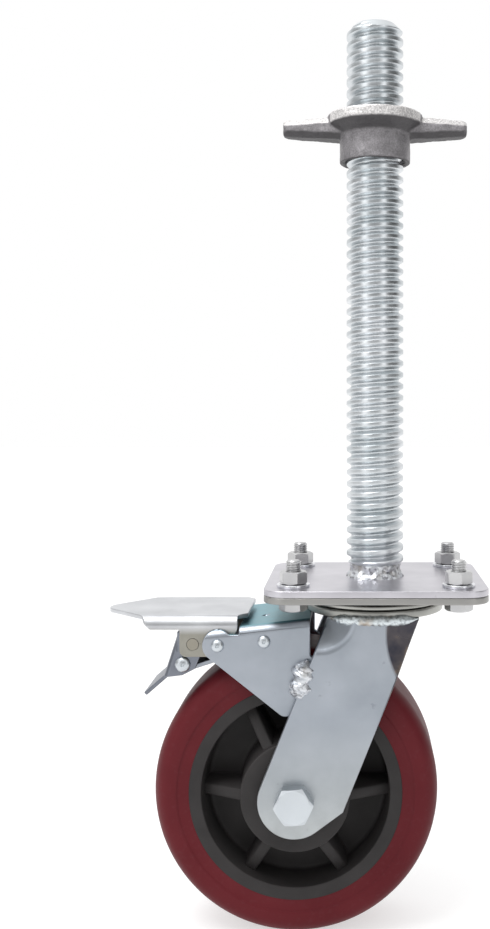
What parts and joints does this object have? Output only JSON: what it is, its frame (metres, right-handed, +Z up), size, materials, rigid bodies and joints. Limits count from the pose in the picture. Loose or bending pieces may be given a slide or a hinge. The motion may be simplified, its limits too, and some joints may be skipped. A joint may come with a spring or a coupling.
{
  "type": "scaffold caster wheel",
  "caption": "Swivelling scaffold caster on a threaded jack stem, with a wing nut that sets the height, a ribbed wheel in a fork and a foot brake with a release lever.",
  "frame": {"origin": "on the stem's axis, at the top face of the stem plate where the stem stands", "axes": "+Z up the stem, +X away from the brake pedal, +Y towards the far fork leg"},
  "size_m": [0.2019, 0.1015, 0.485],
  "materials": {
    "zinc_steel": "zinc plated sheet steel, satin",
    "bright_zinc": "bright zinc plating",
    "weld_metal": "rough weld bead",
    "cast_iron": "sand cast, dark",
    "polyurethane": "smooth cast polyurethane, maroon",
    "core_plastic": "moulded, dark grey",
    "dark_steel": "dark finish, satin",
    "bearing_steel": "hardened, ground"
  },
  "bodies": {
    "root": {"jack_stem": "bright_zinc", "stem_weld": "weld_metal", "stem_plate": "zinc_steel", "castor_top_plate": "zinc_steel", "plate_bolts": "bright_zinc", "plate_washers": "bright_zinc", "plate_nuts": "bright_zinc", "upper_race": "zinc_steel", "lower_race": "zinc_steel", "king_pin": "bright_zinc", "king_nut": "bright_zinc"},
    "wing_nut": {"wing_nut": "cast_iron"},
    "fork": {"fork_crown": "zinc_steel", "upper_swivel_balls": "bearing_steel", "lower_swivel_balls": "bearing_steel", "fork_leg_near": "zinc_steel", "fork_leg_far": "zinc_steel", "crown_welds": "weld_metal", "brake_bracket": "zinc_steel", "bracket_welds": "weld_metal", "pedal_rivet": "bright_zinc", "shoe_rivet": "bright_zinc", "axle_bolt": "bright_zinc", "axle_nut": "bright_zinc", "axle_sleeve": "bearing_steel", "axle_washers": "bright_zinc"},
    "wheel": {"tyre": "polyurethane", "wheel_core": "core_plastic", "hub_race": "bearing_steel", "hub_seals": "core_plastic", "hub_rollers": "bearing_steel", "roller_cage": "core_plastic"},
    "pedal": {"brake_pedal": "zinc_steel", "lever_pivot_pin": "bright_zinc"},
    "release_lever": {"release_lever": "dark_steel", "lever_cross_pin": "bright_zinc"},
    "brake_shoe": {"brake_shoe": "zinc_steel"}
  },
  "joints": [
    {"name": "wing_nut_travel", "type": "slide", "parent": "root", "child": "wing_nut", "axis": [0, 0, 1], "range_m": [-0.21, 0.045]},
    {"name": "fork_swivel", "type": "hinge", "parent": "root", "child": "fork", "pos_m": [0, 0, 0], "axis": [0, 0, 1], "continuous": true},
    {"name": "wheel_spin", "type": "hinge", "parent": "fork", "child": "wheel", "pos_m": [-0.042, 0, -0.11], "axis": [0, 1, 0], "continuous": true},
    {"name": "pedal_press", "type": "hinge", "parent": "fork", "child": "pedal", "pos_m": [-0.0818, 0, -0.031], "axis": [0, -1, 0], "range_deg": [0, 16]},
    {"name": "shoe_press", "type": "hinge", "parent": "fork", "child": "brake_shoe", "pos_m": [-0.0578, 0, -0.0289], "axis": [0, -1, 0], "range_deg": [0, 8]},
    {"name": "lever_release", "type": "hinge", "parent": "pedal", "child": "release_lever", "pos_m": [-0.0951, 0, -0.031], "axis": [0, 1, 0], "range_deg": [0, 15]}
  ],
  "couplings": [
    {"joint": "shoe_press", "follows": "pedal_press", "ratio": 0.5}
  ]
}
